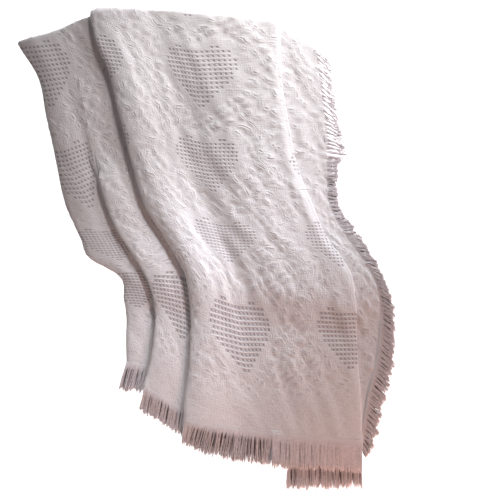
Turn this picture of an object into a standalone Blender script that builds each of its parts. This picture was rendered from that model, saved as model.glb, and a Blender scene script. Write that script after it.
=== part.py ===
"""A cotton throw blanket with a fringe, laid out in soft folds on a flat surface.

One woven sheet makes two pleats on the left, a broad front panel and an under layer on the right.
Its top third is turned under, so the top edge is a fold. Sizes are millimetres until the meshes
are made. "Across" runs to the right and "down" runs from the top edge towards the fringed hem.
"""

import math
from collections import namedtuple

import bmesh
import bpy
import numpy as np

METRES = 0.001

THICKNESS = 2.4
LAYER = 4.2  # from the middle of one layer to the middle of the next
TURN = 5.0  # how far from a fold's line the cloth starts to turn over
PARTING = 0.4  # between the cloth's edge and the strip that carries a fringe
STRIP = 5.6  # width of that strip

UNDER_HEM = 575.0  # how far down the turned-under end reaches, at the left border
UNDER_SLANT = 0.11  # and how much further for each millimetre across
DROP_START = 16.0  # past that end, the upper layers start to come down
DROP_LENGTH = 100.0  # and lie on the surface this much further on
SECOND_PLEAT = (340.0, 425.0)  # the second pleat grows out of the first between these

# Places across, in millimetres, of the lines that the cloth folds or bends on.
# Each column is one station down the throw.
STATIONS = (10, 100, 170, 275, 380, 470, 550, 595, 630, 690, 805, 920, 1070)
LINES = {
    "flap_hem": (138, 161, 198, 216, 225, 225, 252, 270, 296, 308, 312, 308, 308),
    "left_fold": (28, 51, 89, 107, 131, 150, 186, 207, 268, 285, 290, 292, 292),
    "pleat_2": (127, 152, 175, 202, 223, 243, 281, 313, 332, 352, 350, 324, 320),
    "front_left": (202, 223, 250, 278, 304, 334, 382, 409, 426, 435, 437, 426, 421),
    "crest_right": (552, 559, 575, 593, 616, 644, 667, 681, 690, 702, 718, 731, 736),
    "front_right": (642, 644, 646, 662, 683, 718, 754, 787, 807, 817, 821, 830, 835),
    "inner_fold": (460, 460, 467, 478, 495, 520, 552, 570, 587, 607, 628, 637, 637),
    "side_root": (718, 727, 735, 748, 754, 759, 803, 835, 857, 874, 874, 848, 828),
}

# Lines worked out from those: a depth to the right of a pleat's nose at each station, a set
# distance to the right of another line, or a share of the way from one line to another.
DEPTHS = {
    "tuck_1": ("pleat_2", (-32, -28, -25, -21, -12, 14, 34, 40, 40, 36, 38, 38, 38)),
    "tuck_2": ("front_left", (46, 46, 46, 46, 41, 35, 28, 25, 23, 21, 21, 21, 21)),
}
BESIDE = {
    "pleat_1_dip": ("tuck_1", -9.0),
    "pleat_2_side": ("front_left", -11.0),
    "crest_left": ("front_left", 38.0),
    "rise": ("inner_fold", -20.0),
    "side_edge": ("side_root", -STRIP - PARTING),
}
BETWEEN = {
    "pleat_1": ("left_fold", "pleat_1_dip", 0.5),
    "pleat_2_crest": ("pleat_2", "front_left", 0.46),
    "trough": ("crest_left", "crest_right", 0.36),
    "dip_right": ("crest_right", "front_right", 0.5),
    "return": ("front_right", "inner_fold", 0.5),
    "under_mid": ("inner_fold", "front_right", 0.5),
    "past_fold": ("front_right", "side_edge", 0.12),
    "side_slope": ("front_right", "side_edge", 0.6),
}
# Some of them also stay at least this far to the left of another line.
LEFT_OF = {
    "pleat_1_dip": ("pleat_2", 9.0),
    "past_fold": ("side_edge", 24.0),
    "side_slope": ("side_edge", 11.0),
}
# The turned-under end's borders lie inside the front's, and it has no second pleat.
UNDER_INSETS = {"flap_hem": 8.0, "left_fold": 8.0, "side_edge": -8.0}
INSET_GROWS = (110.0, 210.0)  # the insets grow between these, going down
LEAST_TUCK = -20.0  # so there the first tuck lies at least this far open
STEEP = (0.42, 15.0)  # while the first tuck is about this shallow, its layers part this much more

# The line that the top edge folds over, as (across, down).
TOP_FOLD = (
    (41, 101),
    (138, 72),
    (190, 45),
    (223, 31),
    (262, 23),
    (310, 20),
    (380, 26),
    (460, 37),
    (552, 46),
    (644, 62),
    (690, 92),
    (748, 115),
)

# Inner folds turn over this much further down than the layers round them.
TOP_INSETS = {"flap_hem": 9.0, "tuck_2": 4.0}

# One row for each line, in order across the opened cloth. Heights are in layers: "upper" over the
# turned-under end, "lower" past it and "under" in that end. A line with a step is a fold, and the
# step is the change of height through it. "grow" adds layers as the second pleat comes up.
# The lifts are millimetres of swell at the hem, at mid length and at the top.
Bend = namedtuple("Bend", "line step upper lower under grow grow_step hem lift_hem lift_mid lift_top")
SECTION = (
    Bend("flap_hem", 0, 2, 0, 1, 0, 0, 812, 0, 0, 0),
    Bend("left_fold", 1, 2, 0, 1, 0, 0, 833, 1, 2, 2),
    Bend("pleat_1", 0, 3, 1, 0, 0, 0, 835, 2, 7, 4),
    Bend("pleat_1_dip", 0, 3, 0.3, 0, 0, 0, 840, 0, 0, 0),
    Bend("tuck_1", 0, 3, 0, 0, 0, 1, 856, 0, 0, 0),
    Bend("pleat_2", 0, 3, 0.5, 0, 1, 1, 888, 3, 4, 0),
    Bend("pleat_2_crest", 0, 3, 0, 0.3, 2, 0, 913, 3, 5, 0),
    Bend("pleat_2_side", 0, 3, 1.6, 2, 0, 0, 938, 0, 0, 0),
    Bend("tuck_2", 1, 3, 1, 2, 0, 0, 948, 0, 0, 0),
    Bend("front_left", 1, 4, 2, 1, 0, 0, 964, 6, 9, 5),
    Bend("crest_left", 0, 5, 3, 0, 0, 0, 975, 10, 21, 8),
    Bend("trough", 0, 1.3, 0, 0, 0, 0, 989, 0, 0, 0),
    Bend("rise", 0, 5, 2, 0, 0, 0, 996, 0, 1, 1),
    Bend("crest_right", 0, 5, 2, 0, 0, 0, 1005, 4, 13, 5),
    Bend("dip_right", 0, 5, 2, 0, 0, 0, 1010, 1, 2, 2),
    Bend("front_right", -1, 5, 2, 0, 0, 0, 1012, 3, 6, 3),
    Bend("return", 0, 4, 1, 1, 0, 0, 1037, 0, 0, 0),
    Bend("inner_fold", -1, 4, 1, 1, 0, 0, 1065, 0, 0, 0),
    Bend("under_mid", 0, 3, 0, 2, 0, 0, 1053, 0, 0, 0),
    Bend("past_fold", 0, 3.2, 0, 2.2, 0, 0, 1036, 0, 0, 0),
    Bend("side_slope", 0, 2, 0, 1, 0, 0, 1032, 0, 0, 0),
    Bend("side_edge", 0, 1, 0, 0, 0, 0, 1029, 0, 0, 0),
)

# Rows of points, as shares of the way from the hem to the top fold: closer where the left border
# steps in. Then the turn over the top, in degrees, and shares of the way along the under end.
FRONT_ROWS = (0, 0.06, 0.12, 0.18, 0.23, 0.265, 0.29, 0.315, 0.345, 0.38, 0.43, 0.49, 0.55)
FRONT_ROWS += (0.61, 0.67, 0.73, 0.79, 0.85, 0.91, 0.96, 1.0)
TURN_ROWS = (30, 60, 90, 120, 150)
UNDER_ROWS = (0, 0.12, 0.32, 0.56, 0.78, 1.0)

# Columns of points: about this far apart where the cloth is flat, as read off these rows, and this
# many to each stretch of a fold's bend and of the way into it.
FLAT_STEP = 34.0
SAMPLE_ROWS = (0.05, 0.5, 0.9)
BEND_COLUMNS = 3
APPROACH_COLUMNS = 2

# Strands of fringe.
STRAND_PITCH = 11.5
STRAND_LENGTH = 62.0
ROOT_WIDTH = 5.0
TIP_WIDTH = 2.2
TIP_HEIGHT = 1.5
STRAND_RINGS = (0.5, 1.0)  # shares of a strand's length at its rings of points
LIE_DOWN = 0.55  # share of a strand's length in which it comes down to its rest

# Runs of the bottom hem that show: the lines that each lies between with the margins kept there,
# how far its strands lean to the left at each end, and how high they rest.
Run = namedtuple("Run", "start start_margin end end_margin lean_start lean_end rest")
HEM_RUNS = (
    Run("left_fold", 3, "pleat_1_dip", 14, 4, 12, 0.0),
    Run("pleat_2", 4, "pleat_2_side", 4, 12, 4, 0.0),
    Run("front_left", 4, "rise", 6, 9, 0, 0.0),
    Run("rise", 6, "front_right", 4, 0, 0, 7.4),
    Run("inner_fold", 4, "side_edge", 3, 0, -4, 0.0),
)
CLEAR = 0.7  # least distance from a strand's root to a bend of the strip or to the next root
UNEVEN_LEAN = 1.5  # and how unevenly the strands lie and end
SHORTEST = 0.94

# The side fringe: at each station down, the strands' length and how far they point down from
# straight out to the right, in degrees. It stops short of the cloth's corners by the margins.
SIDE_STATIONS = (110, 300, 370, 430, 480, 525, 575, 640, 700, 770, 900, 960, 1025)
SIDE_LENGTHS = (55, 55, 36, 29, 28, 34, 38, 43, 47, 49, 49, 46, 36)
SIDE_LEANS = (45, 42, 34, 20, 4, -4, 8, 28, 34, 41, 44, 43, 38)
SIDE_MARGINS = (1.0, 4.0)


def smooth_line(places, values, at):
    """Reads a smooth curve through (place, value) pairs, level beyond its ends."""
    places = np.asarray(places, float)
    values = np.asarray(values, float)
    slopes = np.gradient(values, places)
    at = np.clip(at, places[0], places[-1])
    left = np.clip(np.searchsorted(places, at) - 1, 0, len(places) - 2)
    gap = places[left + 1] - places[left]
    f = (at - places[left]) / gap
    near = (1 + 2 * f) * (1 - f) ** 2 * values[left] + f * (1 - f) ** 2 * gap * slopes[left]
    far = f * f * (3 - 2 * f) * values[left + 1] - f * f * (1 - f) * gap * slopes[left + 1]
    return near + far


def ease(value, start, end):
    """0 up to start, 1 from end, with a soft S between."""
    f = np.clip((value - start) / (end - start), 0.0, 1.0)
    return f * f * (3 - 2 * f)


def line_across(name, down, under=False):
    """How far across a line lies, at a distance down the front or the turned-under end."""

    def line(other):
        return line_across(other, down, under)

    if name in LINES:
        across = smooth_line(STATIONS, LINES[name], down)
    elif name in DEPTHS:
        nose, depths = DEPTHS[name]
        depth = smooth_line(STATIONS, depths, down)
        across = line(nose) + (min(depth, LEAST_TUCK) if under and name == "tuck_1" else depth)
    elif name in BESIDE:
        other, distance = BESIDE[name]
        across = line(other) + distance
    else:
        one, other, share = BETWEEN[name]
        across = (1 - share) * line(one) + share * line(other)
    if name in LEFT_OF:
        other, distance = LEFT_OF[name]
        across = min(across, line(other) - distance)
    if under:
        across += UNDER_INSETS.get(name, 0.0) * ease(down, *INSET_GROWS)
    return across


# A post is one control point of the section: a bend gives one, a fold gives four.
Post = namedtuple("Post", "bend place after")
POSTS = []
for order, bend in enumerate(SECTION):
    if bend.step or bend.grow_step:
        POSTS += [Post(order, "before", 0), Post(order, "on", 0)]
        POSTS += [Post(order, "on", 1), Post(order, "after", 1)]
    else:
        POSTS.append(Post(order, "on", 0))


def post_across(post, down, under=False):
    across = line_across(SECTION[post.bend].line, down, under)
    if post.place == "on":
        return across
    neighbour = SECTION[post.bend + (1 if post.place == "after" else -1)]
    gap = line_across(neighbour.line, down, under) - across
    return across + np.clip(gap / 3, -TURN, TURN)


def post_height(post, down, share):
    """Height of the cloth's middle at a post of the front; share runs from 0, hem, to 1, top fold."""
    bend = SECTION[post.bend]
    under_hem = UNDER_HEM + UNDER_SLANT * line_across(bend.line, down)
    raised = 1 - ease(down, under_hem + DROP_START, under_hem + DROP_START + DROP_LENGTH)
    layers = bend.lower + (bend.upper - bend.lower) * raised + bend.step * post.after
    layers += (bend.grow + bend.grow_step * post.after) * ease(down, *SECOND_PLEAT)
    layers += steepening(post, down)

    # In a fold only the upper of its two layers swells.
    rises = bend.step + bend.grow_step
    swells = rises == 0 or post.after == (rises > 0)
    lift = smooth_line((0, 0.5, 1), (bend.lift_hem, bend.lift_mid, bend.lift_top), share)
    return THICKNESS / 2 + LAYER * layers + (lift if swells else 0.0)


def steepening(post, down):
    """Layers added between the first tuck and the second pleat where that part of the cloth stands
    nearly upright, so that it rises all the way."""
    most, shallow = STEEP
    depth = line_across("tuck_1", down) - line_across("pleat_2", down)
    added = most * math.exp(-((depth / shallow) ** 2)) * ease(down, *SECOND_PLEAT)
    if post.place != "on":
        added /= 3
    line = SECTION[post.bend].line
    if line == "tuck_1" and post.after:
        return -added
    return added if line == "pleat_2" and not post.after else 0.0


def under_height(post):
    bend = SECTION[post.bend]
    return THICKNESS / 2 + LAYER * (bend.under - bend.step * post.after)


def top_fold_down(post):
    """How far down a post's turn over the top is centred."""
    places, downs = zip(*TOP_FOLD)
    down = downs[len(downs) // 2]
    for _ in range(6):
        down = float(smooth_line(places, downs, post_across(post, down)))
    return down + TOP_INSETS.get(SECTION[post.bend].line, 0.0)


TOPS = [top_fold_down(post) for post in POSTS]


def front_posts(share):
    """The section's posts at a share of the way from the cloth's lower edge to the top fold."""
    points = []
    for post, top in zip(POSTS, TOPS):
        hem = SECTION[post.bend].hem
        edge = hem - STRIP - PARTING
        down = edge + (top - edge) * share
        height = post_height(post, down, (hem - down) / (hem - top))
        points.append((post_across(post, down), down, height))
    return np.array(points, float)


def turn_posts(degrees):
    """The section's posts part of the way round the turn over the top."""
    points = []
    for post, top in zip(POSTS, TOPS):
        under = under_height(post)
        radius = (post_height(post, top, 1.0) - under) / 2
        angle = math.radians(degrees)
        down = top - radius * math.sin(angle)
        points.append((post_across(post, top), down, under + radius * (1 + math.cos(angle))))
    return np.array(points, float)


def under_posts(share):
    """The section's posts at a share of the way from the top to the end of what is turned under."""
    points = []
    for post, top in zip(POSTS, TOPS):
        end = UNDER_HEM + UNDER_SLANT * line_across(SECTION[post.bend].line, UNDER_HEM)
        down = top + (end - top) * share
        points.append((post_across(post, down, under=True), down, under_height(post)))
    return np.array(points, float)


def read_section(posts, places):
    """Points of the smooth section (a cubic B-spline) that the posts steer."""
    padded = np.vstack([2 * posts[0] - posts[1], posts, 2 * posts[-1] - posts[-2]])
    first = np.clip(np.floor(places).astype(int), 0, len(posts) - 2)
    f = (places - first)[:, None]
    weights = (1 - f) ** 3, 3 * f**3 - 6 * f**2 + 4, -3 * f**3 + 3 * f**2 + 3 * f + 1, f**3
    return sum(weight * padded[first + k] for k, weight in enumerate(weights)) / 6


def column_places():
    """Where the cloth's columns of points lie along the section, counted in posts."""
    samples = np.array([front_posts(share) for share in SAMPLE_ROWS])
    lengths = np.linalg.norm(np.diff(samples, axis=1), axis=2).max(axis=0)
    places = []
    for k, length in enumerate(lengths):
        here, following = POSTS[k], POSTS[k + 1]
        if here.place == "on" and following.place == "on" and here.bend == following.bend:
            count = BEND_COLUMNS
        elif here.place == "before" or following.place == "after":
            count = APPROACH_COLUMNS
        else:
            count = max(1, round(length / FLAT_STEP))
        places += [k + step / count for step in range(count)]
    return np.array(places + [len(POSTS) - 1.0])


def to_world(points):
    """From across, down and height in millimetres to X, Y and Z in metres."""
    return np.asarray(points, float) * (METRES, -METRES, METRES)


def unit(vectors):
    return vectors / np.linalg.norm(vectors, axis=-1, keepdims=True)


def cotton(name, colour, roughness):
    material = bpy.data.materials.new(name)
    material.use_nodes = True
    shader = material.node_tree.nodes["Principled BSDF"]
    shader.inputs["Base Color"].default_value = (*colour, 1.0)
    shader.inputs["Roughness"].default_value = roughness
    shader.inputs["Metallic"].default_value = 0.0
    return material


def finish_object(name, graph, material):
    mesh = bpy.data.meshes.new(name)
    bmesh.ops.recalc_face_normals(graph, faces=graph.faces)
    graph.to_mesh(mesh)
    graph.free()
    mesh.shade_smooth()
    mesh.materials.append(material)
    piece = bpy.data.objects.new(name, mesh)
    collection.objects.link(piece)
    return piece


def cloth_rows(places):
    rows = [front_posts(share) for share in FRONT_ROWS]
    rows += [turn_posts(degrees) for degrees in TURN_ROWS]
    rows += [under_posts(share) for share in UNDER_ROWS]
    return np.array([read_section(row, places) for row in rows])


def make_cloth(rows, material):
    """The sheet: a grid laid on the folded section, row by row, and given its thickness."""
    row_count, column_count, _ = rows.shape
    graph = bmesh.new()
    bmesh.ops.create_grid(graph, x_segments=column_count - 1, y_segments=row_count - 1, size=1.0)
    world = to_world(rows)
    for vertex in graph.verts:
        column = round((vertex.co.x + 1) / 2 * (column_count - 1))
        row = round((vertex.co.y + 1) / 2 * (row_count - 1))
        vertex.co = world[row, column]
    piece = finish_object("throw_cloth", graph, material)
    wall = piece.modifiers.new("thickness", "SOLIDIFY")
    wall.thickness = THICKNESS * METRES
    wall.offset = 0.0
    return piece


# An edge of the cloth that carries a fringe: its points, the ways outwards and up at each, and each
# point's distance along it. A strand's root is a distance along it too, and its rest is the height
# of what it comes down to.
Edge = namedtuple("Edge", "points out up along")
Strand = namedtuple("Strand", "root direction length rest")


def tangents_of(points):
    steps = unit(np.diff(points, axis=0))
    return unit(np.vstack([steps[:1], steps[:-1] + steps[1:], steps[-1:]]))


def make_edge(points, out):
    up = unit(np.cross(tangents_of(points), out))
    lengths = np.linalg.norm(np.diff(points, axis=0), axis=1)
    return Edge(points, out, up, np.concatenate([[0.0], np.cumsum(lengths)]))


def spaced_roots(edge, begin, end):
    """Evenly spaced roots between two distances along an edge, stepped clear of the edge's bends."""
    room = ROOT_WIDTH / 2 + CLEAR
    count = max(2, round((end - begin - ROOT_WIDTH) / STRAND_PITCH) + 1)
    roots = []
    for root in np.linspace(begin + ROOT_WIDTH / 2, end - ROOT_WIDTH / 2, count):
        bend = edge.along[np.argmin(abs(edge.along - root))]
        if abs(bend - root) < room:
            root = bend + math.copysign(room, root - bend)
        clear = abs(edge.along - root).min() > room - CLEAR / 2
        if clear and (not roots or root - roots[-1] > ROOT_WIDTH + CLEAR):
            roots.append(root)
    return roots


def make_fringe(name, edge, strands, material):
    """A strip along an edge of the cloth, and a tapered four-sided strand drawn from it at each root."""
    sides = [strand.root + side * ROOT_WIDTH / 2 for strand in strands for side in (-1, 1)]
    columns = np.sort(np.concatenate([edge.along, sides]))
    points, out, up = (
        np.stack([np.interp(columns, edge.along, part) for part in vectors.T], axis=1)
        for vectors in (edge.points, edge.out, edge.up)
    )
    last = len(columns) - 1
    graph = bmesh.new()
    bmesh.ops.create_grid(graph, x_segments=last, y_segments=1, size=1.0)
    for vertex in graph.verts:
        vertex.co = (round((vertex.co.x + 1) / 2 * last), round((vertex.co.y + 1) / 2), 0.0)
    raised = bmesh.ops.extrude_face_region(graph, geom=graph.faces[:], use_keep_orig=True)
    top = [item for item in raised["geom"] if isinstance(item, bmesh.types.BMVert)]
    bmesh.ops.translate(graph, verts=top, vec=(0, 0, 1))

    # For now a point holds its column, its step outwards and its side, and not yet a place.
    outer = {}
    for face in graph.faces:
        if all(vertex.co.y > 0.5 for vertex in face.verts):
            outer[int(min(vertex.co.x for vertex in face.verts))] = face
    owner = {}
    for strand in strands:
        start = int(np.searchsorted(columns, strand.root)) - 1
        face = outer[start]
        for _ in STRAND_RINGS:
            face = bmesh.ops.extrude_discrete_faces(graph, faces=[face])["faces"][0]
            bmesh.ops.translate(graph, verts=face.verts, vec=(0, 1, 0))
            owner.update({vertex: (strand, start) for vertex in face.verts})

    for vertex in graph.verts:
        column, step, side = (round(value) for value in vertex.co)
        if vertex in owner:
            strand, start = owner[vertex]
            root = (points[start : start + 2] + out[start : start + 2] * (PARTING + STRIP)).mean(axis=0)
            run = points[start + 1] - points[start]
            place = strand_point(strand, root, run, STRAND_RINGS[step - 2], column - start - 0.5, side - 0.5)
        else:
            place = points[column] + out[column] * (PARTING + STRIP * step)
            place = place + up[column] * THICKNESS * (side - 0.5)
        vertex.co = to_world(place)
    return finish_object(name, graph, material)


def strand_point(strand, root, run, share, across, above):
    """A corner of the ring at a share of a strand's length; across and above are half a size each."""
    height = THICKNESS + (TIP_HEIGHT - THICKNESS) * share
    width = ROOT_WIDTH + (TIP_WIDTH - ROOT_WIDTH) * share
    settled = strand.rest + height / 2
    middle = root + strand.direction * strand.length * share
    middle[2] = settled + (root[2] - settled) * (1 - ease(share, 0.0, LIE_DOWN))
    crosswise = np.cross(strand.direction, (0.0, 0.0, 1.0))
    crosswise *= np.sign(np.dot(crosswise, run))
    return middle + crosswise * width * across + np.array((0, 0, height * above))


def make_hem_fringe(hem, places, material):
    edge = make_edge(hem, np.tile((0.0, 1.0, 0.0), (len(hem), 1)))
    wobble = np.random.default_rng(4)

    def distance_to(line, last):
        posts = [k for k, post in enumerate(POSTS) if SECTION[post.bend].line == line]
        return np.interp(posts[-1 if last else 0], places, edge.along)

    strands = []
    for run in HEM_RUNS:
        begin = distance_to(run.start, last=True) + run.start_margin
        end = distance_to(run.end, last=False) - run.end_margin
        for root in spaced_roots(edge, begin, end):
            lean = run.lean_start + (run.lean_end - run.lean_start) * (root - begin) / (end - begin)
            lean += wobble.uniform(-UNEVEN_LEAN, UNEVEN_LEAN)
            direction = unit(np.array((-lean, STRAND_LENGTH, 0.0)))
            length = STRAND_LENGTH * wobble.uniform(SHORTEST, 1.0)
            strands.append(Strand(root, direction, length, run.rest))
    return make_fringe("hem_fringe", edge, strands, material)


def make_side_fringe(side, material):
    edge = make_edge(side, np.cross((0.0, 0.0, 1.0), tangents_of(side * (1, 1, 0))))
    wobble = np.random.default_rng(9)
    strands = []
    for root in spaced_roots(edge, SIDE_MARGINS[0], edge.along[-1] - SIDE_MARGINS[1]):
        down = np.interp(root, edge.along, edge.points[:, 1])
        lean = smooth_line(SIDE_STATIONS, SIDE_LEANS, down) + wobble.uniform(-UNEVEN_LEAN, UNEVEN_LEAN)
        direction = np.array((math.cos(math.radians(lean)), math.sin(math.radians(lean)), 0.0))
        length = smooth_line(SIDE_STATIONS, SIDE_LENGTHS, down) * wobble.uniform(SHORTEST, 1.0)
        strands.append(Strand(root, direction, length, 0.0))
    return make_fringe("side_fringe", edge, strands, material)


for old in list(bpy.data.objects):
    bpy.data.objects.remove(old)
collection = bpy.data.collections.new("throw_blanket")
bpy.context.scene.collection.children.link(collection)

woven = cotton("woven_cotton", (0.86, 0.83, 0.83), 0.9)
yarn = cotton("fringe_cotton", (0.80, 0.76, 0.76), 0.85)
columns_at = column_places()
rows = cloth_rows(columns_at)
pieces = [
    make_cloth(rows, woven),
    make_hem_fringe(rows[0], columns_at, yarn),
    make_side_fringe(rows[: len(FRONT_ROWS), -1], yarn),
]

# The throw's middle goes over the origin.
bpy.context.view_layer.update()
seen = bpy.context.evaluated_depsgraph_get()
corners = np.array([corner for piece in pieces for corner in piece.evaluated_get(seen).bound_box])
middle = (corners.min(axis=0) + corners.max(axis=0)) / 2
for piece in pieces:
    piece.location = (-middle[0], -middle[1], 0.0)
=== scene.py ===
import math
from collections import namedtuple

import bmesh
import bpy
import numpy as np
from mathutils import Matrix, Vector, noise


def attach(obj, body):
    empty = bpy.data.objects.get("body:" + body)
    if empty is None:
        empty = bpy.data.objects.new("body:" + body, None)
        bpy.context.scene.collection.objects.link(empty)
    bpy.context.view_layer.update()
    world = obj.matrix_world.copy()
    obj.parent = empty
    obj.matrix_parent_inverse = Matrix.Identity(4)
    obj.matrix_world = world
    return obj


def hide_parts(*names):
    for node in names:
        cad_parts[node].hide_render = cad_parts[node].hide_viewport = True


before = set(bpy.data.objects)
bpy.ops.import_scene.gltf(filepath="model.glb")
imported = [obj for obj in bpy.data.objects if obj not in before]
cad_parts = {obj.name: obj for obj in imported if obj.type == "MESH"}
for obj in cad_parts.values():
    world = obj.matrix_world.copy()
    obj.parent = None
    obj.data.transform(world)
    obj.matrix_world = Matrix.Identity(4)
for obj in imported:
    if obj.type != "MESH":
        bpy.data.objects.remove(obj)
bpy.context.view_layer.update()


# The woven throw: one sheet of white cotton gauze, with hearts in openwork on a plain ground and a
# raised net of threads between them. It is folded by hand: its top third is turned under, its left
# border is tucked into two pleats, and its right border comes out from under the front.

THICKNESS = 2.0  # millimetres, as every size here until the meshes are made
LAYER = 4.2  # from the middle of one layer to the middle of the next
TURN = 5.0  # how far from a fold's line the cloth starts to turn over
SELVAGE = 1.0  # the cloth stops this far short of its border, where the fringe begins
LOWEST = THICKNESS / 2 + 0.2  # the middle of the lowest layer, over the floor

UNDER_HEM = 575.0  # how far down the turned-under end reaches, at the left border
UNDER_SLANT = 0.11  # and how much further for each millimetre across
DROP_START = 16.0  # past that end, the upper layers start to come down
DROP_LENGTH = 100.0  # and lie on the floor this much further on
SECOND_PLEAT = (340.0, 425.0)  # the second pleat grows out of the first between these

# Places across of the lines that the cloth folds or bends on, at each station down the throw.
STATIONS = (10, 100, 170, 275, 380, 470, 550, 595, 630, 690, 805, 920, 1070)
LINES = {
    "flap_hem": (138, 161, 198, 216, 225, 225, 252, 270, 296, 308, 312, 308, 308),
    "left_fold": (16, 40, 84, 107, 131, 150, 186, 207, 268, 285, 290, 292, 292),
    "pleat_2": (127, 152, 175, 202, 223, 243, 281, 313, 332, 352, 350, 324, 320),
    "front_left": (202, 223, 250, 278, 304, 334, 382, 409, 426, 435, 437, 426, 421),
    "crest_right": (552, 559, 575, 593, 616, 644, 667, 681, 690, 702, 718, 731, 736),
    "front_right": (642, 644, 646, 662, 683, 718, 754, 787, 807, 817, 821, 830, 835),
    "inner_fold": (460, 460, 467, 478, 495, 520, 552, 570, 587, 607, 628, 637, 637),
    "side_root": (718, 727, 735, 748, 754, 759, 803, 835, 857, 874, 874, 848, 828),
}

# Lines worked out from those: a depth to the right of a pleat's nose at each station, a set
# distance to the right of another line, or a share of the way from one line to another.
DEPTHS = {
    "tuck_1": ("pleat_2", (-32, -28, -25, -21, -12, 14, 34, 40, 40, 36, 38, 38, 38)),
    "tuck_2": ("front_left", (46, 46, 46, 46, 41, 35, 28, 25, 23, 21, 21, 21, 21)),
}
BESIDE = {
    "pleat_1_dip": ("tuck_1", -9.0),
    "pleat_2_side": ("front_left", -11.0),
    "crest_left": ("front_left", 38.0),
    "rise": ("inner_fold", -20.0),
    "edge_right": ("front_right", -16.0),
    "side_edge": ("side_root", -SELVAGE),
}
BETWEEN = {
    "pleat_1": ("left_fold", "pleat_1_dip", 0.5),
    "pleat_2_crest": ("pleat_2", "front_left", 0.46),
    "trough": ("crest_left", "crest_right", 0.36),
    "dip_right": ("crest_right", "front_right", 0.5),
    "return": ("front_right", "inner_fold", 0.5),
    "under_mid": ("inner_fold", "front_right", 0.5),
    "past_fold": ("front_right", "side_edge", 0.12),
    "side_slope": ("front_right", "side_edge", 0.6),
}
# These also keep at least a set distance to the left of another line.
LEFT_OF = {
    "pleat_1_dip": ("pleat_2", 9.0),
    "past_fold": ("side_edge", 24.0),
    "side_slope": ("side_edge", 11.0),
}
# The turned-under end is narrower by these, which grow between two distances down.
UNDER_INSETS = {"flap_hem": 8.0, "left_fold": 8.0, "side_edge": -8.0}
INSET_GROWS = (110.0, 210.0)
LEAST_TUCK = -20.0  # in that end, the first tuck goes at least this far under the second pleat
STEEP = (0.42, 15.0)  # layers added by the wall of the first tuck, and how shallow it still has them

# The line that the top edge folds over, as (across, down).
TOP_FOLD = (
    (41, 101), (138, 72), (190, 45), (223, 31), (262, 23), (310, 20),
    (380, 26), (460, 37), (552, 46), (644, 62), (690, 92), (748, 115),
)
TOP_INSETS = {"flap_hem": 9.0, "tuck_2": 4.0}  # these lines turn over a little further down

# One row for each line, in order across the opened cloth. Heights are in layers: "upper" over the
# turned-under end, "lower" past it and "under" in that end. A line with a step is a fold, and
# "grow" adds layers as the second pleat comes up. "hem" is where the cloth's lower edge lies, and
# the lifts are swell there, at mid length and at the top. "step_wide" is how far apart the cloth's
# columns of points lie after the line: close where it shows, wider inside the folds.
Bend = namedtuple(
    "Bend", "line step upper lower under grow grow_step hem lift_hem lift_mid lift_top step_wide"
)
FINE, HIDDEN, DEEP = 5.3, 9.0, 22.0
SECTION = (
    Bend("flap_hem", 0, 2, 0, 1, 0, 0, 812, 0, 0, 0, DEEP),
    Bend("left_fold", 1, 2, 0, 1, 0, 0, 833, 1, 2, 2, FINE),
    Bend("pleat_1", 0, 3, 1, 0, 0, 0, 835, 2, 7, 5, FINE),
    Bend("pleat_1_dip", 0, 3, 0.3, 0, 0, 0, 840, 0, 0, 4, FINE),
    Bend("tuck_1", 0, 3, 0, 0, 0, 1, 856, 0, 0, 3, FINE),
    Bend("pleat_2", 0, 3, 0.5, 0, 1, 1, 888, 3, 4, 1, FINE),
    Bend("pleat_2_crest", 0, 3, 0, 0.3, 2, 0, 913, 3, 5, 0, FINE),
    Bend("pleat_2_side", 0, 3, 1.6, 2, 0, 0, 938, 0, 0, 0, HIDDEN),
    Bend("tuck_2", 1, 3, 1, 2, 0, 0, 948, 0, 0, 0, HIDDEN),
    Bend("front_left", 1, 4, 2, 1, 0, 0, 964, 6, 9, 5, FINE),
    Bend("crest_left", 0, 5, 3, 0, 0, 0, 975, 10, 21, 8, FINE),
    Bend("trough", 0, 1.3, 0, 0, 0, 0, 989, 0, 0, 0, FINE),
    Bend("rise", 0, 5, 2, 0, 0, 0, 996, 0, 1, 1, FINE),
    Bend("crest_right", 0, 5, 2, 0, 0, 0, 1005, 4, 13, 5, FINE),
    Bend("dip_right", 0, 5, 2, 0, 0, 0, 1010, 2, 5, 4, FINE),
    Bend("edge_right", 0, 5, 2, 0, 0, 0, 1011, 3, 8, 7, FINE),
    Bend("front_right", -1, 5, 2, 0, 0, 0, 1012, 0, 0, 0, DEEP),
    Bend("return", 0, 4, 1, 1, 0, 0, 1037, 0, 0, 0, DEEP),
    Bend("inner_fold", -1, 4, 1, 1, 0, 0, 1065, 0, 0, 0, DEEP),
    Bend("under_mid", 0, 3, 0, 2, 0, 0, 1053, 0, 0, 0, HIDDEN),
    Bend("past_fold", 0, 3.2, 0, 2.2, 0, 0, 1036, 0, 0, 0, FINE),
    Bend("side_slope", 0, 2, 0, 1, 0, 0, 1032, 0, 0, 0, FINE),
    Bend("side_edge", 0, 1, 0, 0, 0, 0, 1029, 0, 0, 0, FINE),
)

# Rows of points: up the front from the hem, in degrees round the turn over the top, and down what
# is turned under. The columns are spaced by the widest of three rows of the front.
FRONT_ROWS = np.linspace(0.0, 1.0, 182)
TURN_ROWS = np.arange(18.0, 180.0, 18.0)
UNDER_ROWS = np.linspace(0.0, 1.0, 17)
SAMPLE_ROWS = (0.05, 0.5, 0.9)


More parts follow.
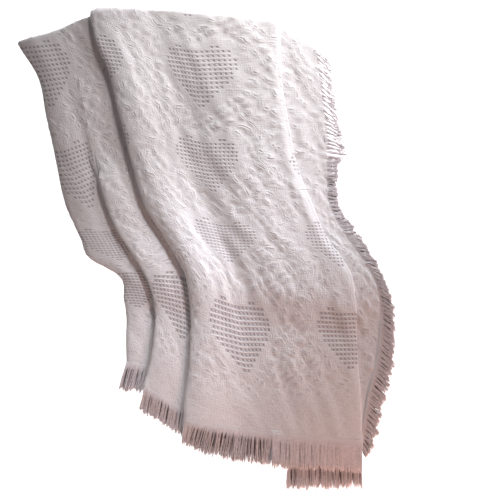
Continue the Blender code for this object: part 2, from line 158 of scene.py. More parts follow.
def smooth_line(places, values, at):
    """Reads a smooth curve through (place, value) pairs, level beyond its ends."""
    places = np.asarray(places, float)
    values = np.asarray(values, float)
    slopes = np.gradient(values, places)
    at = np.clip(at, places[0], places[-1])
    left = np.clip(np.searchsorted(places, at) - 1, 0, len(places) - 2)
    gap = places[left + 1] - places[left]
    f = (at - places[left]) / gap
    near = (1 + 2 * f) * (1 - f) ** 2 * values[left] + f * (1 - f) ** 2 * gap * slopes[left]
    far = f * f * (3 - 2 * f) * values[left + 1] - f * f * (1 - f) * gap * slopes[left + 1]
    return near + far


def ease(value, start, end):
    """0 up to start, 1 from end, with a soft S between."""
    f = np.clip((value - start) / (end - start), 0.0, 1.0)
    return f * f * (3 - 2 * f)


def line_across(name, down, under=False):
    """How far across a line lies, at a distance down the front or the turned-under end."""

    def line(other):
        return line_across(other, down, under)

    if name in LINES:
        across = smooth_line(STATIONS, LINES[name], down)
    elif name in DEPTHS:
        nose, depths = DEPTHS[name]
        depth = smooth_line(STATIONS, depths, down)
        across = line(nose) + (min(depth, LEAST_TUCK) if under and name == "tuck_1" else depth)
    elif name in BESIDE:
        other, distance = BESIDE[name]
        across = line(other) + distance
    else:
        one, other, share = BETWEEN[name]
        across = (1 - share) * line(one) + share * line(other)
    if name in LEFT_OF:
        other, distance = LEFT_OF[name]
        across = min(across, line(other) - distance)
    if under:
        across += UNDER_INSETS.get(name, 0.0) * ease(down, *INSET_GROWS)
    return across


# A post is one control point of the section: a bend gives one, a fold gives four.
Post = namedtuple("Post", "bend place after")
POSTS = []
for order, bend in enumerate(SECTION):
    if bend.step or bend.grow_step:
        POSTS += [Post(order, "before", 0), Post(order, "on", 0)]
        POSTS += [Post(order, "on", 1), Post(order, "after", 1)]
    else:
        POSTS.append(Post(order, "on", 0))


def post_across(post, down, under=False):
    """How far across a post lies: on its line, or within TURN of it."""
    across = line_across(SECTION[post.bend].line, down, under)
    if post.place == "on":
        return across
    neighbour = SECTION[post.bend + (1 if post.place == "after" else -1)]
    gap = line_across(neighbour.line, down, under) - across
    return across + np.clip(gap / 3, -TURN, TURN)


def post_height(post, down, share):
    """Height of the cloth's middle at a post of the front; share runs from 0, hem, to 1, top fold."""
    bend = SECTION[post.bend]
    under_hem = UNDER_HEM + UNDER_SLANT * line_across(bend.line, down)
    raised = 1 - ease(down, under_hem + DROP_START, under_hem + DROP_START + DROP_LENGTH)
    layers = bend.lower + (bend.upper - bend.lower) * raised + bend.step * post.after
    layers += (bend.grow + bend.grow_step * post.after) * ease(down, *SECOND_PLEAT)
    layers += steepening(post, down)

    # In a fold only the upper of its two layers swells.
    lift = smooth_line((0, 0.5, 1), (bend.lift_hem, bend.lift_mid, bend.lift_top), share)
    rises = bend.step + bend.grow_step
    if rises and post.after != (rises > 0):
        lift *= 0 if bend.step else 1 - ease(down, *SECOND_PLEAT)
    return LOWEST + LAYER * layers + lift


def steepening(post, down):
    """Layers added where the cloth between the first tuck and the second pleat stands upright."""
    most, shallow = STEEP
    depth = line_across("tuck_1", down) - line_across("pleat_2", down)
    added = most * math.exp(-((depth / shallow) ** 2)) * ease(down, *SECOND_PLEAT)
    if post.place != "on":
        added /= 3  # beside the fold, a third of the way to the next line
    line = SECTION[post.bend].line
    if line == "tuck_1" and post.after:
        return -added
    return added if line == "pleat_2" and not post.after else 0.0


def under_height(post):
    """Height of the cloth's middle at a post of the turned-under end."""
    bend = SECTION[post.bend]
    return LOWEST + LAYER * (bend.under - bend.step * post.after)


def top_fold_down(post):
    """How far down a post's turn over the top is centred."""
    places, downs = zip(*TOP_FOLD)
    down = downs[len(downs) // 2]
    for _ in range(6):
        down = float(smooth_line(places, downs, post_across(post, down)))
    return down + TOP_INSETS.get(SECTION[post.bend].line, 0.0)


TOPS = [top_fold_down(post) for post in POSTS]


def front_posts(share):
    """The section's posts at a share of the way from the cloth's lower edge to the top fold."""
    points = []
    for post, top in zip(POSTS, TOPS):
        hem = SECTION[post.bend].hem
        edge = hem - SELVAGE
        down = edge + (top - edge) * share
        height = post_height(post, down, (hem - down) / (hem - top))
        points.append((post_across(post, down), down, height))
    return np.array(points, float)


def turn_posts(degrees):
    """The section's posts part of the way round the turn over the top."""
    points = []
    for post, top in zip(POSTS, TOPS):
        under = under_height(post)
        radius = (post_height(post, top, 1.0) - under) / 2
        angle = math.radians(degrees)
        down = top - radius * math.sin(angle)
        points.append((post_across(post, top), down, under + radius * (1 + math.cos(angle))))
    return np.array(points, float)


def under_posts(share):
    """The section's posts at a share of the way from the top to the end of what is turned under."""
    points = []
    for post, top in zip(POSTS, TOPS):
        end = UNDER_HEM + UNDER_SLANT * line_across(SECTION[post.bend].line, UNDER_HEM)
        down = top + (end - top) * share
        points.append((post_across(post, down, under=True), down, under_height(post)))
    return np.array(points, float)


def read_section(posts, places):
    """Points of the smooth section (a cubic B-spline) that the posts steer."""
    padded = np.vstack([2 * posts[0] - posts[1], posts, 2 * posts[-1] - posts[-2]])
    first = np.clip(np.floor(places).astype(int), 0, len(posts) - 2)
    f = (places - first)[:, None]
    weights = (1 - f) ** 3, 3 * f**3 - 6 * f**2 + 4, -3 * f**3 + 3 * f**2 + 3 * f + 1, f**3
    return sum(weight * padded[first + k] for k, weight in enumerate(weights)) / 6


# Columns of points on each side of a fold's turn, and round it: more at the noses that show.
NOSES = {"left_fold": (1, 4), "pleat_2": (2, 4), "front_left": (2, 5), "front_right": (2, 5)}
INNER_TURN = (1, 3)


def column_places():
    """Where the cloth's columns of points lie along the section, counted in posts."""
    samples = np.array([front_posts(share) for share in SAMPLE_ROWS])
    lengths = np.linalg.norm(np.diff(samples, axis=1), axis=2).max(axis=0)
    places = []
    for k, length in enumerate(lengths):
        here, following = POSTS[k], POSTS[k + 1]
        beside, around = NOSES.get(SECTION[here.bend].line, INNER_TURN)
        if here.place == "before" or following.place == "after":
            count = beside
        elif here.bend == following.bend:
            count = around
        else:
            count = max(1, round(length / SECTION[here.bend].step_wide))
        places += [k + step / count for step in range(count)]
    return np.array(places + [len(POSTS) - 1.0])


def cloth_rows(places):
    """The cloth's middle, from its lower edge over the top to what is turned under."""
    rows = [front_posts(share) for share in FRONT_ROWS]
    rows += [turn_posts(degrees) for degrees in TURN_ROWS]
    rows += [under_posts(share) for share in UNDER_ROWS]
    return np.array([read_section(row, places) for row in rows])


def post_number(line, last=False):
    """The first or the last of a line's posts, counted along the section."""
    posts = [k for k, post in enumerate(POSTS) if SECTION[post.bend].line == line]
    return posts[-1 if last else 0]


places = column_places()
rows = cloth_rows(places)

# The weave's own coordinates. The hearts stand in columns and rows, this far apart along the cloth.
# Columns are counted from the one down the middle of the front, and rows from the highest that
# shows. Down the throw, these hold the rows still: where the hearts' tops and points come, in
# rows, and how far down they lie in four of the columns.
COLUMN, ROW = 252.0, 195.5
HEART_ENDS = (-0.31, 0.31, 0.69, 1.31, 1.69, 2.31, 2.69, 3.31)
ROW_PLACES = {
    -2.0: (98, 242, 340, 476, 529, 598, 623, 704),
    -1.0: (80, 200, 270, 385, 450, 560, 628, 777),
    0.0: (110, 245, 323, 439, 514, 600, 696, 855),
    1.0: (104, 236, 329, 447, 513, 610, 713, 846),
}
# Across, these hold the columns still, each as distances down and what it says there: where
# column 0 lies on the front, column -2 on the first pleat and the left border of column 1's hearts
# by the right fold, then the columns that the front's nose and the second pleat's far side reach.
MIDDLE_COLUMN = ((177, 381, 557, 776), (455, 475, 520, 553))
FIRST_COLUMN = ((172, 409, 568, 676), (108, 152, 225, 271))
MIDDLE_LEAN, FIRST_LEAN = 0.18, 0.3  # past their ends, the first two go on at these slopes
RIGHT_BORDER = ((170, 300, 355, 545, 782), (700, 690, 664, 708, 738))
NOSE_COLUMN = (
    (100, 161, 250, 330, 590, 690, 780),
    (-0.89, -0.87, -0.80, -0.71, -0.56, -0.50, -0.38),
)
PLEAT_COLUMN = ((590, 690), (-1.32, -0.97))
PLEAT_CLOSES = (420.0, 590.0)  # above this the second pleat takes no cloth up


def walk(edge):
    """Distance along a line of points."""
    lengths = np.linalg.norm(np.diff(edge, axis=0), axis=1)
    return np.concatenate([[0.0], np.cumsum(lengths)])


def stretched(places, values, at, slope):
    """Reads straight lines through (place, value) pairs, with a set slope beyond the ends."""
    read = np.interp(at, places, values)
    return read + np.minimum(at - places[0], 0) * slope + np.maximum(at - places[-1], 0) * slope


def column_marks(row, along, down):
    """Known columns on one row of the front, as distances along it and columns, left to right."""

    def between(start, end):
        return (places >= post_number(start, last=True)) & (places <= post_number(end))

    def at_line(line, last=False):
        return np.interp(post_number(line, last), places, along)

    def at_across(part, across):
        return stretched(row[part, 0], along[part], across, 1.0)

    front, pleat = between("front_left", "front_right"), between("left_fold", "pleat_1_dip")
    marks = []
    first = at_across(pleat, stretched(*FIRST_COLUMN, down, FIRST_LEAN))
    for end in (at_line("left_fold", last=True), at_line("pleat_1_dip")):
        marks.append((end, -2 + (end - first) / COLUMN))
    second, far = at_line("pleat_2", last=True), at_line("pleat_2_side")
    flat = -2 + (far - first) / COLUMN
    side = flat + (np.interp(down, *PLEAT_COLUMN) - flat) * ease(down, *PLEAT_CLOSES)
    marks += [(second, side - (far - second) / COLUMN), (far, side)]
    marks.append((at_line("front_left", last=True), np.interp(down, *NOSE_COLUMN)))
    middle = at_across(front, stretched(*MIDDLE_COLUMN, down, MIDDLE_LEAN))
    marks.append((middle, 0.0))
    marks.append((at_across(front, np.interp(down, *RIGHT_BORDER)), 1 - HEART[0]))
    return zip(*marks)


def weave_map(rows):
    """Each point's place in the weave, in columns and rows of hearts."""
    columns = np.empty(rows.shape[:2])
    downs = np.empty(rows.shape[:2])
    turned = len(FRONT_ROWS)
    front = (places >= post_number("front_left", last=True)) & (places <= post_number("front_right"))
    keys = sorted(ROW_PLACES)
    for r in range(turned):
        row = rows[r]
        along = walk(row)
        marks, known = column_marks(row, along, row[front, 1].mean())
        columns[r] = stretched(marks, known, along, 1 / COLUMN)
        by_key = np.array(
            [stretched(ROW_PLACES[key], HEART_ENDS, row[:, 1], 1 / ROW) for key in keys]
        )
        for c, column in enumerate(columns[r]):
            downs[r, c] = np.interp(column, keys, by_key[:, c])
    steps = np.linalg.norm(np.diff(rows, axis=0), axis=2)
    for r in range(turned, len(rows)):
        columns[r] = columns[turned - 1]
        downs[r] = downs[r - 1] - steps[r - 1] / ROW
    return columns, downs


HEART_COLUMNS, HEART_ROWS = (-2, 1), (-3, 3)  # the first and the last that are woven
HEART = (0.274, 0.325)  # half a heart's width and height, in columns and rows
NOTCH, LOBE = 0.82, 0.16  # how high the notch lies between the lobes, and how much they rise over it
LOBE_AT, LOBE_WIDE = 0.5, 0.36  # where a lobe's middle lies and half its width
SHOULDER, ROUND = 0.45, 0.9  # from this high up, the sides round in to the lobes
POINT, CURVE = 1.13, 1.23  # how fast the sides run in to the point
GROUND = (1.22, 1.24)  # the plain ground round a heart is this much larger than it
GROUND_EDGE = (-0.14, 0.06)  # and gives way to the net between these depths

weave_across, weave_down = weave_map(rows)

HEM_PLAIN = (3.45, 3.7, 0.75)  # between these rows the net loses this share, towards the hem
NET = (8, 7)  # diamonds of the net to a column and to a row
BEND_A = ((0.030, 0.7, 2.3), (0.016, 5.1, -3.7))  # how the net's threads wander: size and direction
BEND_B = ((0.028, 2.9, -0.9), (0.016, 3.1, 4.3))


def heart_depth(a, b, size):
    """How far inside a heart a place lies; below nought, outside."""
    x = abs(a - np.clip(np.round(a), *HEART_COLUMNS)) / (HEART[0] * size[0])
    y = (b - np.clip(np.round(b), *HEART_ROWS)) / (HEART[1] * size[1])
    lobe = np.maximum(1 - ((x - LOBE_AT) / LOBE_WIDE) ** 2, 0)
    side = 1 - x - ROUND * np.maximum(-SHOULDER - y, 0) ** 2
    return np.minimum(np.minimum(y + NOTCH + LOBE * lobe, 1 - POINT * x**CURVE - y), side)


def net_phases(a, b):
    """Counts the net's two sets of slanting threads."""
    shift_a = sum(size * np.sin(math.tau * (fa * a + fb * b)) for size, fa, fb in BEND_A)
    shift_b = sum(size * np.sin(math.tau * (fa * a + fb * b)) for size, fa, fb in BEND_B)
    across, down = NET[0] * (a + shift_a), NET[1] * (b + shift_b)
    return across + down, across - down


DISH = 2.6  # how deep the net's diamonds are dished
# Uneven rise and fall of the whole ground, and soft creases from folding: how high, how far apart
# across and down, and a number that sets one pattern off from the other. The creases lean.
ROLL = (0.7, 26, 30, 1.7)
RUMPLE = (3.0, 32, 130, 7.1)
RUMPLE_LEAN = 0.3
FADES = (0.2, 0.3, 0.4, 0.1)  # how many posts before and after a span's ends its relief fades over
PLEAT_OPEN = (385, 440, 0.4)  # where the second pleat's tuck closes, and its share of relief above
OVER_TOP = (60, 180)  # degrees round the turn over the top that the relief fades between


def relief(a, b):
    """How far the cloth's middle stands out along its normal."""
    net = 1 - ease(heart_depth(a, b, GROUND), *GROUND_EDGE)
    net = net * (1 - HEM_PLAIN[2] * ease(b, *HEM_PLAIN[:2]))
    one, other = net_phases(a, b)
    dish = np.sin(math.pi * one) * np.sin(math.pi * other)
    return DISH * net * (0.5 - dish * dish)


def showing(places):
    """The share of relief along the section: most where it can be seen, 0 inside the folds."""
    spans = [  # from one post to another, and the share between them
        (post_number("left_fold"), post_number("pleat_1_dip") - 0.3, 0.45),
        (post_number("pleat_2"), post_number("pleat_2_side") - 0.2, 0.8),
        (post_number("front_left") + 1, post_number("edge_right") + 0.6, 1.0),
        (post_number("past_fold") - 0.2, len(POSTS) - 1.0, 1.0),
    ]
    weight = np.zeros(len(places))
    for start, end, share in spans:
        inside = ease(places, start - FADES[0], start + FADES[1])
        inside = inside * (1 - ease(places, end - FADES[2], end + FADES[3]))
        weight = np.maximum(weight, inside * share)
    weight[places > len(POSTS) - 2] = 1.0  # as far as the right border
    return weight


def unfolded(places, down):
    """The share of relief across the second pleat's tuck, which lies open above that pleat."""
    start, end, share = PLEAT_OPEN
    open_here = (places > post_number("pleat_1_dip") - 1) & (places < post_number("pleat_2") + 1)
    return share * open_here[None, :] * (1 - ease(down, start, end))[:, None]


def normals_of(rows):
    """Ways up from the cloth's upper side."""
    along = np.gradient(rows, axis=1)
    down = np.gradient(rows, axis=0)
    normals = np.cross(along, down)
    normals /= np.maximum(np.linalg.norm(normals, axis=2, keepdims=True), 1e-9)
    return normals


def rumpled(rows, a, b, weight):
    """The section's rows with the net's relief and the small creases that folding leaves."""
    roll, roll_across, roll_down, roll_seed = ROLL
    rumple, rumple_across, rumple_down, rumple_seed = RUMPLE
    swell = relief(a, b)
    for r in range(rows.shape[0]):
        for c in range(rows.shape[1]):
            if weight[r, c] == 0:
                continue
            u, v = a[r, c] * COLUMN, b[r, c] * ROW
            swell[r, c] += roll * noise.noise(Vector((u / roll_across, v / roll_down, roll_seed)))
            leant = (u - RUMPLE_LEAN * v) / rumple_across
            swell[r, c] += rumple * noise.noise(Vector((leant, v / rumple_down, rumple_seed)))
    raised = rows + normals_of(rows) * (swell * weight)[:, :, None]
    raised[:, :, 2] = np.maximum(raised[:, :, 2], LOWEST)
    return raised


over_top = 1 - ease(TURN_ROWS, *OVER_TOP)
front_share = np.concatenate([np.ones(len(FRONT_ROWS)), over_top, np.zeros(len(UNDER_ROWS))])
weight = np.maximum(showing(places)[None, :], unfolded(places, rows[:, :, 1].mean(axis=1)))
weight *= front_share[:, None]
cloth = rumpled(rows, weave_across, weave_down, weight)

MIDDLE = (482.53, 567.38)  # the throw's middle, which lies over the origin


def to_world(points):
    """From across, down and height in millimetres to X, Y and Z in metres."""
    return (np.asarray(points, float) - (*MIDDLE, 0.0)) * (0.001, -0.001, 0.001)


def link(name, mesh):
    piece = bpy.data.objects.new(name, mesh)
    bpy.context.scene.collection.objects.link(piece)
    return piece


def make_throw(cloth):
    """The cloth: a grid whose points are moved to their places in the folds."""
    row_count, column_count, _ = cloth.shape
    graph = bmesh.new()
    bmesh.ops.create_grid(graph, x_segments=column_count - 1, y_segments=row_count - 1, size=1.0)
    weave = graph.loops.layers.uv.new("weave")
    world = to_world(cloth)
    index = {}
    for vertex in graph.verts:
        column = round((vertex.co.x + 1) / 2 * (column_count - 1))
        row = round((vertex.co.y + 1) / 2 * (row_count - 1))
        index[vertex] = row, column
        vertex.co = world[row, column]
    for face in graph.faces:
        for corner in face.loops:
            row, column = index[corner.vert]
            corner[weave].uv = weave_across[row, column], weave_down[row, column]
    # A smooth rim would shade the cloth dark all along its edge.
    for edge in graph.edges:
        edge.smooth = not edge.is_boundary
    mesh = bpy.data.meshes.new("woven_throw")
    bmesh.ops.recalc_face_normals(graph, faces=graph.faces)
    graph.to_mesh(mesh)
    graph.free()
    mesh.shade_smooth()
    piece = link("woven_throw", mesh)
    wall = piece.modifiers.new("thickness", "SOLIDIFY")
    wall.thickness = THICKNESS * 0.001
    wall.offset = 0.0
    return piece


class Value:
    """A number on its way through a material; sums and products of it add Math nodes."""

    def __init__(self, tree, socket):
        self.tree = tree
        self.socket = socket

    def node(self, kind, settings, inputs, output=0):
        """Adds a node, its settings first and then its inputs, and wraps one of its outputs."""
        added = self.tree.nodes.new(kind)
        for name, setting in settings.items():
            setattr(added, name, setting)
        for key, value in inputs.items():
            if isinstance(value, Value):
                self.tree.links.new(value.socket, added.inputs[key])
            else:
                added.inputs[key].default_value = value
        return Value(self.tree, added.outputs[output])

    def math(self, operation, *others):
        return self.node("ShaderNodeMath", {"operation": operation}, dict(enumerate((self, *others))))

    def __add__(self, other):
        return self.math("ADD", other)

    def __mul__(self, other):
        return self.math("MULTIPLY", other)

    def __sub__(self, other):
        return self.math("SUBTRACT", other)

    def __truediv__(self, other):
        return self.math("DIVIDE", other)

    def __pow__(self, other):
        return self.math("POWER", other)

    def __rsub__(self, other):
        return self * -1 + other

    def __abs__(self):
        return self.math("ABSOLUTE")

    __radd__ = __add__
    __rmul__ = __mul__

    def clamped(self, least, most):
        return self.math("MAXIMUM", least).math("MINIMUM", most)

    def soft(self, start, end):
        """0 up to start, 1 from end, with a soft S between."""
        limits = {"Value": self, "From Min": start, "From Max": end}
        return self.node("ShaderNodeMapRange", {"interpolation_type": "SMOOTHSTEP"}, limits)

    def grain(self, across, down, depth, scale, detail=2.0):
        """Noise between 0 and 1 at a place."""
        place = self.node("ShaderNodeCombineXYZ", {}, {0: across, 1: down, 2: depth})
        settings = {"noise_dimensions": "3D"}
        inputs = {"Vector": place, "Scale": scale, "Detail": detail}
        return self.node("ShaderNodeTexNoise", settings, inputs)

    def mix(self, one, other):
        """Colour one where this is 0, the other where it is 1."""
        settings = {"data_type": "RGBA"}
        return self.node("ShaderNodeMix", settings, {0: self, 6: one, 7: other}, output=2)


def new_cotton(name, roughness, sheen):
    """A cotton material, and its shader."""
    material = bpy.data.materials.new(name)
    material.use_nodes = True
    shader = material.node_tree.nodes["Principled BSDF"]
    shader.inputs["Roughness"].default_value = roughness
    shader.inputs["Sheen Weight"].default_value = sheen
    shader.inputs["Sheen Roughness"].default_value = 0.5
    return material, shader


COTTON = (0.92, 0.90, 0.915, 1)
COTTON_TONE_AND_SHADE = (0.73, 0.70, 0.73, 1)  # darker: the weave's uneven tone and the openwork's ground, and painted shade in the net's dimples
OPENING_PAINTED_SHADE = (0.44, 0.40, 0.42, 1)  # painted shade in the openings, for the shadow under the cloth seen through them

CELLS = (28, 21)  # openings of the openwork to a column and to a row
OPENING = (0.24, 0.25)  # half an opening's width and height, in cells
OPENING_EDGE = (0.6, 1.15)  # an opening's rim, beside those sizes, from open to closed
OPENING_FRAY = (60, 0.9)  # how fine and how uneven that rim is
SLANT = -0.4  # how far an opening leans
BAR_EDGE = (0.30, 0.45)  # the bars between rows of openings, from a cell's middle to its border

DIMPLE = (0.4, 0.15)  # half a dimple's length and width, in diamonds of the net
WIDER = (1.6, 2.6, 0.17)  # between these rows the dimples widen by this much, into rings
DIMPLE_EDGE = 1.15  # a dimple ends here, and its rim runs from 1 to RING_WIDE past it
RING_WIDE = 0.6
DIMPLE_FRAY = (24, 0.2)  # as an opening's, in diamonds
DIMPLE_PICK = 7.3  # sets the diamonds apart in the noise that gives each dimple its strength
FAINTEST = (0.35, 0.36, 0.62)  # the faintest dimple's strength, and the noise that it rises over

STREAK = (16, 105)  # how often a pick or an end changes along itself and from one to the next
SLUBS = 45  # how fine the yarn's thick places are
LOW = (2.0, 2.8)  # between these rows the cloth comes to lie looser, and its weave shows more


def heart_of(a, b, size):
    """heart_depth, as nodes."""
    x = abs(a - a.math("ROUND").clamped(*HEART_COLUMNS)) / (HEART[0] * size[0])
    y = (b - b.math("ROUND").clamped(*HEART_ROWS)) / (HEART[1] * size[1])
    aside = (x - LOBE_AT) / LOBE_WIDE
    lobe = (1 - aside * aside).math("MAXIMUM", 0.0)
    over = y + NOTCH + LOBE * lobe
    below = 1 - POINT * x**CURVE - y
    rise = (-SHOULDER - y).math("MAXIMUM", 0.0)
    return over.math("MINIMUM", below).math("MINIMUM", 1 - x - ROUND * rise * rise)


def dimples_of(a, b):
    """The slanting dimples in the net's diamonds, as nodes, and the ring round each."""
    turn = math.tau
    shift_a = sum(size * (turn * (fa * a + fb * b)).math("SINE") for size, fa, fb in BEND_A)
    shift_b = sum(size * (turn * (fa * a + fb * b)).math("SINE") for size, fa, fb in BEND_B)
    fineness, frayed = DIMPLE_FRAY
    fray = a.grain(a * fineness, b * fineness, 3.0, 1.0, 0.0) - 0.5
    across = NET[0] * (a + shift_a) + frayed * fray
    down = NET[1] * (b + shift_b) - frayed * fray
    along, aside = across + down, across - down
    picks = (line.math("FLOOR") * DIMPLE_PICK for line in (along, aside))
    which = a.grain(*picks, 5.0, 1.0, 0.0)
    strong = FAINTEST[0] + (1 - FAINTEST[0]) * which.soft(*FAINTEST[1:])
    off_along = (along.math("FRACT") - 0.5) / DIMPLE[0]
    off_aside = (aside.math("FRACT") - 0.5) / (DIMPLE[1] + WIDER[2] * b.soft(*WIDER[:2]))
    off = (off_along * off_along + off_aside * off_aside).math("SQRT")
    ring = 1 - abs(off - 1.0).soft(0.0, RING_WIDE)
    return (1 - off.soft(0.0, DIMPLE_EDGE)) * strong, ring * strong


def weave_material():
    """Gauze in a loose plain weave, with the hearts' openwork and the net's dimples; shade is painted
    into the openings and dimples, and a highlight onto the raised rings and bars.
    """
    material, shader = new_cotton("woven_cotton_gauze", 0.9, 0.25)
    tree = material.node_tree
    start = Value(tree, None)
    place = start.node("ShaderNodeUVMap", {"uv_map": "weave"}, {})
    apart = place.node("ShaderNodeSeparateXYZ", {}, {0: place})
    a, b, _ = (Value(tree, socket) for socket in apart.socket.node.outputs)

    cell_a, cell_b = a * CELLS[0], b * CELLS[1]
    middle_a = (cell_a.math("FLOOR") + 0.5) / CELLS[0]
    middle_b = (cell_b.math("FLOOR") + 0.5) / CELLS[1]

    # A cell is openwork as a whole, or not at all.
    openwork = heart_of(middle_a, middle_b, (1, 1)).soft(-0.01, 0.01)
    ground = heart_of(a, b, GROUND).soft(*GROUND_EDGE)

    off_b = (cell_b.math("FRACT") - 0.5) / OPENING[1]
    off_a = (cell_a.math("FRACT") - 0.5) / OPENING[0] + SLANT * off_b
    fineness, frayed = OPENING_FRAY
    fray = a.grain(a * fineness, b * fineness, 0.0, 1.0) - 0.5
    rim = (off_a * off_a + off_b * off_b).math("SQRT") + fray * frayed
    opening = (1 - rim.soft(*OPENING_EDGE)) * openwork
    bar = abs(cell_b.math("FRACT") - 0.5).soft(*BAR_EDGE) * openwork

    net = (1 - ground) * (1 - HEM_PLAIN[2] * b.soft(*HEM_PLAIN[:2]))
    dimple, ring = (part * net for part in dimples_of(a, b))
    seldom, often = STREAK
    pick = a.grain(a * seldom, b * often, 2.0, 1.0)
    end = a.grain(a * often, b * seldom, 6.0, 1.0)
    weave = pick + end - 1
    slub = a.grain(a * SLUBS, b * SLUBS, 8.0, 1.0) - 0.5

    # What stands out, in millimetres, and then how much of the darker colour each part shows: the
    # weave's tone and the openwork's ground, painted shade in the dimples, and less of it where a
    # painted highlight lies on the raised rings and bars.
    low = b.soft(*LOW)
    height = weave * (0.55 + 0.3 * low) + slub * 0.4 + bar * (0.3 + 0.4 * low)
    height = height - opening * 0.9 - dimple * 0.6 + ring * 0.15
    bump = start.node("ShaderNodeBump", {}, {"Strength": 1.0, "Distance": 0.001, "Height": height})
    tree.links.new(bump.socket, shader.inputs["Normal"])

    # Painted highlight: the raised rings and bars are painted lighter, as if catching the light.
    raised = ring * 0.2 + bar * (0.4 + 0.6 * low)
    woven = weave * (0.6 + 0.5 * low) + openwork * (0.3 + 0.35 * low)
    # Painted shade: the net's dimples are painted darker, as the shade in them would be.
    shade = (0.25 + woven + dimple * 0.8 - raised).soft(0.0, 1.0)
    cotton = shade.mix(COTTON, COTTON_TONE_AND_SHADE)
    # The openings are painted dark: painted shade, for the shadow under the cloth seen through them.
    colour = opening.mix(cotton, OPENING_PAINTED_SHADE)
    tree.links.new(colour.socket, shader.inputs["Base Color"])
    return material


throw = make_throw(cloth)
throw.data.materials.append(weave_material())
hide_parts("throw_cloth")
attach(throw, "root")


# The fringe along the hem: the warp's own ends, left long where the weaving stops. They lie on the
# floor or on the layer below, and cling together in small locks.

# Runs of the hem that show: the lines that each lies between with the margins kept there, the way
# its strands point along it, in degrees clockwise from the right, how much shade is painted between
# them along it, how high they rest, and where their tips lie, as (across, down).
Run = namedtuple("Run", "start start_margin end end_margin angles darks rest tips")
HEM_RUNS = (
    Run(
        "left_fold", -8, "pleat_1_dip", -10, (106, 103), (1.0, 0.6), 0.0,
        ((271, 896), (281, 904), (330, 908)),
    ),
    Run(
        "pleat_2", -8, "pleat_2_side", -24, (104, 98), (0.15, 0.9), 0.0,
        ((320, 949), (340, 963), (419, 1008)),
    ),
    Run(
        "front_left", -8, "rise", 0, (99, 106, 99, 94, 91), (0.15, 1.1, 1.4, 1.4, 0.9), 0.0,
        ((414, 1024), (483, 1054), (554, 1069), (628, 1075)),
    ),
    Run(
        "rise", 0, "front_right", -6, (91, 90), (0.35, 0.13), 7.4,
        ((628, 1080), (700, 1087), (830, 1093)),
    ),
    Run(
        "inner_fold", 4, "side_edge", 1, (90, 88), (0.8, 1.0), 0.0,
        ((637, 1138), (660, 1132), (828, 1131)),
    ),
)
HEM_LOCKS = (4.0, 12.0)  # the narrowest and the widest lock
HEM_CUTS = (0.94, 1.03)  # the shortest and the longest lock, beside the line of the tips
HEM_WAVE = (0.2, 0.9)  # how much a strand waves
STRAND_START = 5.0  # a strand starts this far up inside the cloth
STRAND_POINTS = 9  # points along its path
WAVES = 1.3  # how many times a strand waves along its length
TAPER = (0.15, 0.4, 0.85)  # it thins by the first all along and by the second from the third on
COMES_DOWN = (0.2, 0.85)  # it comes down from the cloth between these shares of its length
# The fringe lies three strands deep: for each layer of them, how far apart they stand, how much
# shade is painted on them, how high they lie off what the fringe rests on, their radius, their
# length beside the line of the tips, and how closely they keep to their lock.
Lay = namedtuple("Lay", "pitch depth level radius reach cling")
LAYS = (
    Lay(1.6, 0.55, 0.0, 1.5, 0.96, 0.0),
    Lay(2.2, 0.32, 1.0, 0.95, 0.98, 0.5),
    Lay(2.9, 0.08, 1.9, 0.8, 1.0, 0.6),
)
SLIT = (1.8, 2.2)  # a slit between locks, painted dark as shade, shows this far to each side of it, and how deep its painted shade is
SLITS = (0.2, 1.0)  # its painted shade, from the faintest to the deepest
SCALLOP = 0.12  # how much shorter the strands at a lock's borders are
OPEN_BELOW = 0.12  # a fringe given less painted shade than this has nothing between its strands
LOCK_TILT, STRAND_TILT = 3.0, 2.0  # degrees that a lock, or one strand in it, points aside at most
UNEVEN = 0.4  # how far strands stand from their pitch
MOST_LOCKS = 300  # more than any fringe has
# Each strand's depth, the shade painted on it, its length, pull into its lock and radius vary by these
# shares.
PAINTED_SHADE_VARIES, LENGTH_VARIES = (0.3, 1.5), (0.96, 1.02)
PULL_VARIES, RADIUS_VARIES = (0.4, 1.2), (0.85, 1.15)

# A strand's depth is the shade painted on it.
Strand = namedtuple("Strand", "root direction length rest pull wave phase radius depth")


def strand_path(strand):
    """Points and radii along one strand, which comes down from the cloth to what it rests on."""
    share = np.linspace(0.0, 1.0, STRAND_POINTS)
    side = np.cross(strand.direction, (0.0, 0.0, 1.0))
    sway = strand.wave * np.sin(share * math.tau * WAVES + strand.phase) * share
    sway = sway + strand.pull * np.sin(share * math.pi) ** 2
    path = strand.root + np.outer(share * strand.length - STRAND_START, strand.direction)
    path = path + np.outer(sway, side)
    evenly, at_tip, tip = TAPER
    radii = strand.radius * (1 - evenly * share - at_tip * ease(share, tip, 1.0))

    # It begins just below the cloth's upper side and ends on what it rests on.
    rest = strand.rest + radii
    begin = np.maximum(strand.root[2] + THICKNESS / 2 - 0.1 - radii, rest)
    path[:, 2] = rest + (begin - rest) * (1 - ease(share, *COMES_DOWN))
    return path, radii


# One fringe: how its strands point and how much shade is painted between them, at stations along
# the edge, how high they rest, how wide their locks are, how evenly the locks are cut, how the
# strands wave, and the seed of what varies by chance.
Growth = namedtuple("Growth", "stations angles darks rest locks cuts wave seed")


